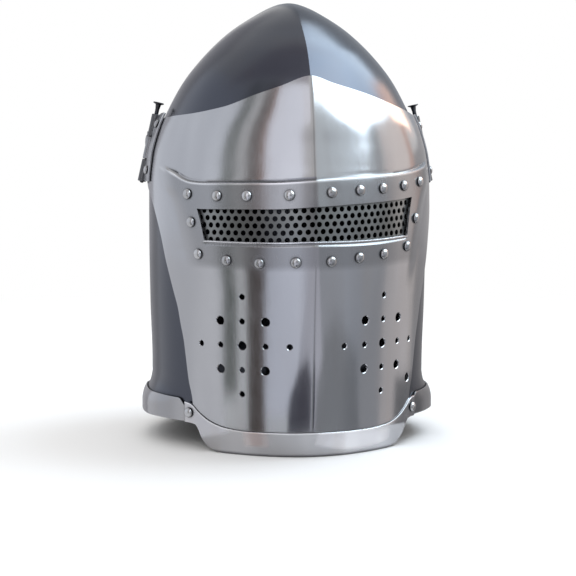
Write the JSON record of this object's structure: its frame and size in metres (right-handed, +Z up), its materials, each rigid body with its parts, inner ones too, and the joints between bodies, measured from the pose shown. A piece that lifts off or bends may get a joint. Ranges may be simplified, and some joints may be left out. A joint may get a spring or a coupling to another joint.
{
  "type": "visored helmet",
  "caption": "Tall pointed steel helmet with a lifting visor, perforated sight, breath holes, leaning temple hinges with pull-out pins, bright rim bands, leather liner and buckled chin strap.",
  "frame": {"origin": "under the middle of the helmet, on the surface that it stands on", "axes": "+Z up to the crown, -Y out of the face, +X to the wearer's left"},
  "size_m": [0.2482, 0.2716, 0.356],
  "materials": {
    "blackened_steel": "blackened satin, oiled",
    "polished_steel": "polished by hand, soft reflections",
    "bright_steel": "bright polish",
    "dark_steel": "forged, darkened",
    "sheet_steel": "perforated sheet",
    "leather": "brown vegetable-tanned leather",
    "brass": "cast brass"
  },
  "bodies": {
    "helmet": {"skull_shell": "blackened_steel", "liner_rivet_6": "blackened_steel", "liner_rivet_7": "blackened_steel", "strap_rivet_right": "blackened_steel", "strap_rivet_left": "blackened_steel", "rear_rim_band": "bright_steel", "front_chin_band": "bright_steel", "nape_rivet": "bright_steel", "tab_rivet_right": "bright_steel", "tab_rivet_left": "bright_steel", "pivot_stud_right": "bright_steel", "pivot_stud_left": "bright_steel", "pivot_washer_right": "dark_steel", "pivot_washer_left": "dark_steel", "liner_rivet_1": "dark_steel", "liner_rivet_2": "dark_steel", "liner_rivet_3": "dark_steel", "liner_rivet_4": "dark_steel", "liner_rivet_5": "dark_steel", "liner": "leather", "chin_strap_right": "leather", "chin_strap_left": "leather"},
    "visor": {"visor_plate": "polished_steel", "sight_grille": "sheet_steel", "sight_rivet_01": "bright_steel", "sight_rivet_02": "bright_steel", "sight_rivet_03": "bright_steel", "sight_rivet_04": "bright_steel", "sight_rivet_05": "bright_steel", "sight_rivet_06": "bright_steel", "sight_rivet_07": "bright_steel", "sight_rivet_08": "bright_steel", "sight_rivet_09": "bright_steel", "sight_rivet_10": "bright_steel", "sight_rivet_11": "bright_steel", "sight_rivet_12": "bright_steel", "sight_rivet_13": "bright_steel", "sight_rivet_14": "bright_steel", "sight_rivet_15": "bright_steel", "sight_rivet_16": "bright_steel", "sight_rivet_17": "bright_steel", "sight_rivet_18": "bright_steel", "sight_rivet_19": "bright_steel", "hinge_leaf_right": "dark_steel", "pivot_arm_right": "dark_steel", "hinge_leaf_left": "dark_steel", "pivot_arm_left": "dark_steel", "leaf_rivet_right_lower": "dark_steel", "leaf_rivet_right_upper": "dark_steel", "leaf_rivet_left_lower": "dark_steel", "leaf_rivet_left_upper": "dark_steel"},
    "pin_right": {"hinge_pin_right": "dark_steel"},
    "pin_left": {"hinge_pin_left": "dark_steel"},
    "buckle": {"buckle_frame": "brass"},
    "prong": {"buckle_prong": "brass"}
  },
  "joints": [
    {"name": "visor_lift", "type": "hinge", "parent": "helmet", "child": "visor", "pos_m": [0, 0.02, 0.24151], "axis": [-1, 0, 0], "range_deg": [0, 75]},
    {"name": "pin_right_pull", "type": "slide", "parent": "visor", "child": "pin_right", "axis": [0.2198, 0, 0.9755], "range_m": [-0.0035, 0.058]},
    {"name": "pin_left_pull", "type": "slide", "parent": "visor", "child": "pin_left", "axis": [-0.2198, 0, 0.9755], "range_m": [-0.0035, 0.058]},
    {"name": "buckle_swing", "type": "hinge", "parent": "helmet", "child": "buckle", "pos_m": [-0.09209, -0.03871, 0.13171], "axis": [0.3751, -0.927, 0], "range_deg": [0, 50]},
    {"name": "prong_swing", "type": "hinge", "parent": "buckle", "child": "prong", "pos_m": [-0.09209, -0.03871, 0.13171], "axis": [0.3751, -0.927, 0], "range_deg": [0, 45]}
  ]
}
